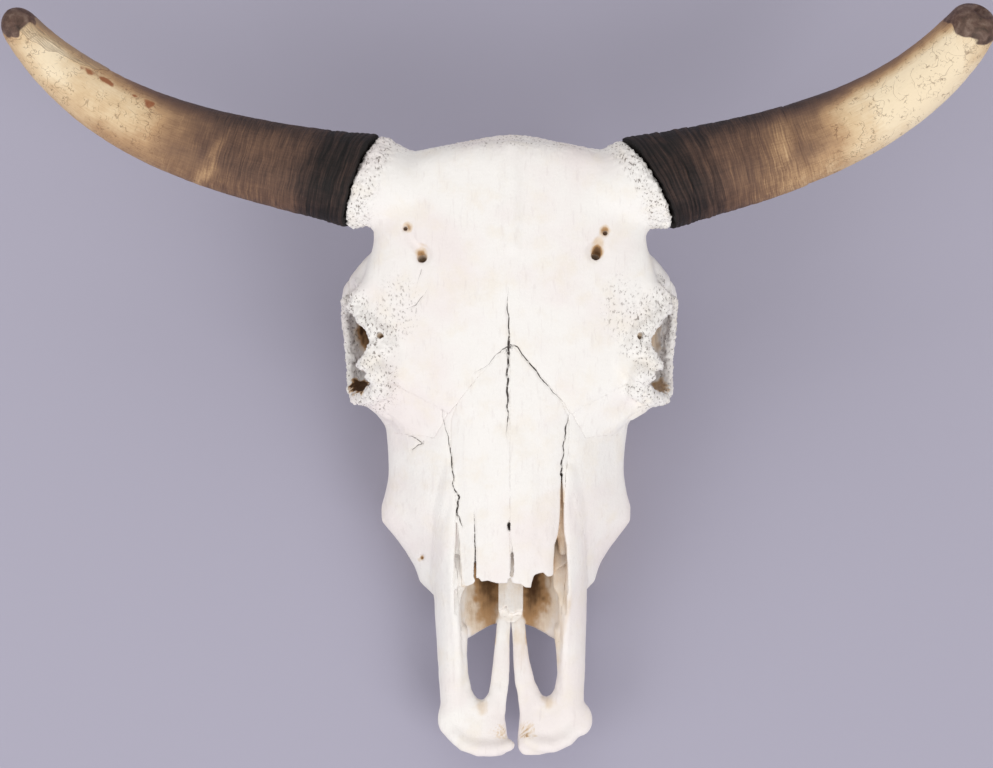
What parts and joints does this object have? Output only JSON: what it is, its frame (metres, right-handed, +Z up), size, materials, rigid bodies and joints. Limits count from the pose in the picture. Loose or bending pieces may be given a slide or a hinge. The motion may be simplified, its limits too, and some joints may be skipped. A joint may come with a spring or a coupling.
{
  "type": "cattle skull",
  "caption": "Life-size horned cattle skull without the lower jaw, resting on its cheek teeth and jugular processes, for display.",
  "frame": {"origin": "middle of the bounding box's underside, on the surface that the skull rests on", "axes": "+X across the skull to the viewer's right, +Y from the nose to the poll, +Z up through the forehead"},
  "size_m": [0.8, 0.5922, 0.2478],
  "materials": {
    "bone": "dry sun-bleached bone, chalky and finely pitted",
    "horn": "weathered keratin, ringed and near black at the root, cream beyond, with a satin sheen",
    "tooth": "old enamel, ivory with brown tartar, low gloss"
  },
  "bodies": {
    "root": {"nasal_left": "bone", "nasal_right": "bone", "frontal_bone": "bone", "occipital_bone": "bone", "zygomatic_left": "bone", "lacrimal_left": "bone", "zygomatic_right": "bone", "lacrimal_right": "bone", "maxilla_left": "bone", "maxilla_right": "bone", "braincase": "bone", "premaxilla_left": "bone", "premaxilla_right": "bone", "vomer": "bone", "horn_left": "horn", "horn_right": "horn"}
  },
  "joints": []
}
